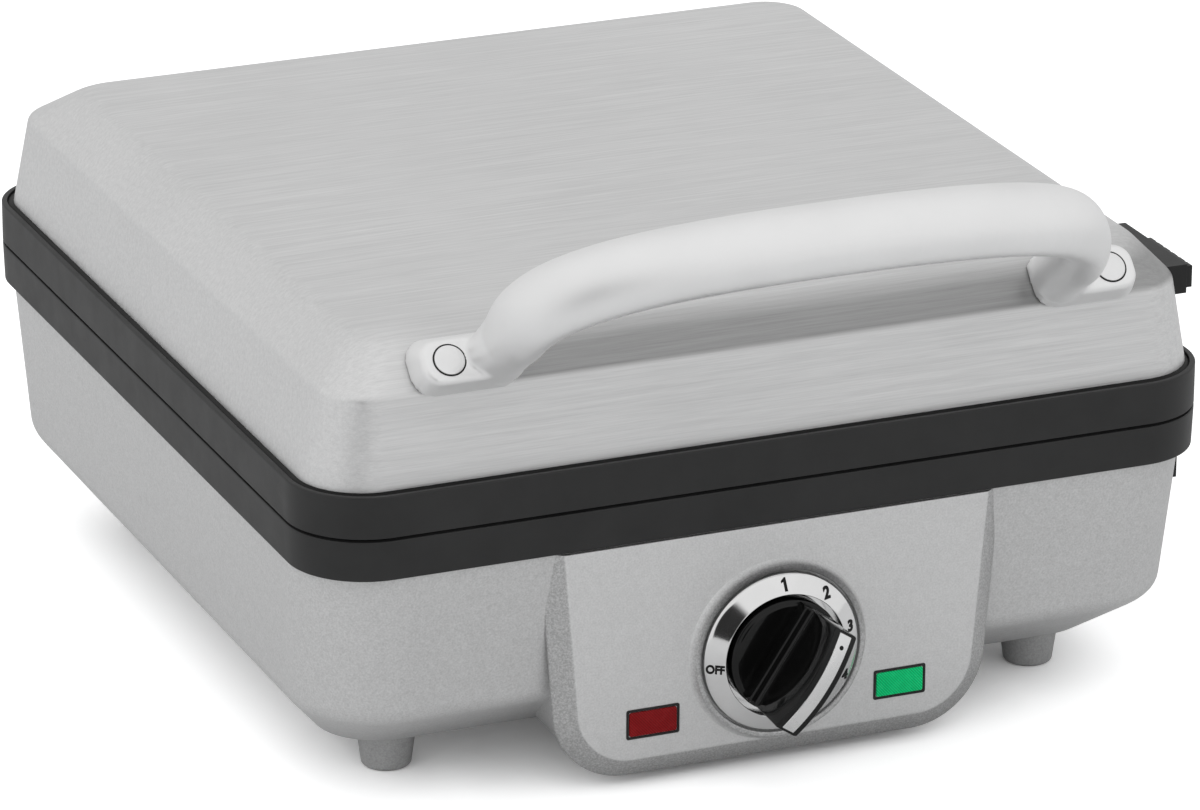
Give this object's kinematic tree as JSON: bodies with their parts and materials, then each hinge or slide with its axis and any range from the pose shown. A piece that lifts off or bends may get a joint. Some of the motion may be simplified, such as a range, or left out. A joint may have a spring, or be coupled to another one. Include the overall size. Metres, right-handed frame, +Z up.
{
  "type": "waffle and pancake maker",
  "caption": "Countertop waffle and pancake maker: hinged brushed steel lid with arched handle, removable waffle plates, browning dial, signal lights and plate release buttons.",
  "frame": {"origin": "Centre of the bounding box in X and Y, underside of the feet in Z.", "axes": "X to the right seen from the front, Y to the back (hinge side), Z up; the control panel faces -Y."},
  "size_m": [0.33, 0.4108, 0.2122],
  "materials": {
    "brushed_steel_lid": "brushed stainless steel, grain along the width",
    "dark_ring": "satin dark grey moulded plastic",
    "silver_paint": "fine speckled silver paint",
    "panel_paint": "fine speckled silver paint, slightly lighter",
    "dial_chrome": "satin chrome",
    "gloss_black": "gloss black plastic",
    "inlay_silver": "satin silver",
    "shaft_steel": "turned steel",
    "beige_plastic": "heat resistant moulding",
    "black_plastic": "matt black plastic",
    "red_lens": "red translucent plastic",
    "green_lens": "green translucent plastic, fine diagonal texture",
    "lamp_glass": "neon lamp glass",
    "foot_plastic": "silver grey plastic",
    "cover_sheet": "plain sheet",
    "screw_steel": "plated screw",
    "plate_coating": "cast aluminium with dark non-stick coating",
    "tray_sheet": "reflector sheet",
    "heater_sheath": "oxidised heater sheath",
    "spring_steel": "spring steel",
    "cast_handle": "satin cast metal",
    "cap_silver": "satin silver cap",
    "hinge_black": "dark hinge moulding",
    "fuse_case": "thermal fuse case"
  },
  "bodies": {
    "base": {"lower_ring": "dark_ring", "base_housing": "silver_paint", "control_panel": "panel_paint", "dial_ring": "dial_chrome", "thermostat": "beige_plastic", "heating_bezel": "black_plastic", "ready_bezel": "black_plastic", "heating_lens": "red_lens", "ready_lens": "green_lens", "heating_lamp": "lamp_glass", "ready_lamp": "lamp_glass", "foot_front_left": "foot_plastic", "foot_front_right": "foot_plastic", "foot_rear_left": "foot_plastic", "foot_rear_right": "foot_plastic", "bottom_cover": "cover_sheet", "cover_screw_1": "screw_steel", "cover_screw_2": "screw_steel", "cover_screw_3": "screw_steel", "cover_screw_4": "screw_steel", "lower_waffle_plate": "plate_coating", "lower_tray": "tray_sheet", "lower_heater": "heater_sheath", "lower_plate_clip": "spring_steel", "lower_release_bezel": "black_plastic", "hinge_bracket_right": "hinge_black", "hinge_bracket_left": "hinge_black", "hinge_pin_right": "spring_steel", "hinge_pin_left": "spring_steel", "terminal_block": "beige_plastic", "cord_gland": "black_plastic"},
    "lid": {"lid_cover": "brushed_steel_lid", "upper_ring": "dark_ring", "upper_tray": "tray_sheet", "upper_heater": "heater_sheath", "upper_waffle_plate": "plate_coating", "upper_plate_clip": "spring_steel", "handle": "cast_handle", "handle_cap_left": "cap_silver", "handle_cap_right": "cap_silver", "handle_screw_left": "screw_steel", "handle_screw_right": "screw_steel", "upper_release_bezel": "black_plastic", "lid_hinge_left": "hinge_black", "lid_hinge_right": "hinge_black", "thermal_fuse": "fuse_case"},
    "dial_knob": {"knob": "gloss_black", "knob_inlay": "inlay_silver", "thermostat_shaft": "shaft_steel"},
    "upper_release": {"upper_release_button": "black_plastic"},
    "lower_release": {"lower_release_button": "black_plastic"}
  },
  "joints": [
    {"name": "lid_hinge", "type": "hinge", "parent": "base", "child": "lid", "pos_m": [0, 0.19891, 0.1036], "axis": [-1, 0, 0], "range_deg": [0, 100]},
    {"name": "knob_turn", "type": "hinge", "parent": "base", "child": "dial_knob", "pos_m": [0, -0.15794, 0.04355], "axis": [0, 1, 0], "range_deg": [-128, 116]},
    {"name": "upper_release_slide", "type": "slide", "parent": "lid", "child": "upper_release", "axis": [-1, 0, 0], "range_m": [0, 0.004], "stiffness_N_per_m": 600, "springref_m": -0.001},
    {"name": "lower_release_slide", "type": "slide", "parent": "base", "child": "lower_release", "axis": [-1, 0, 0], "range_m": [0, 0.004], "stiffness_N_per_m": 600, "springref_m": -0.001}
  ]
}
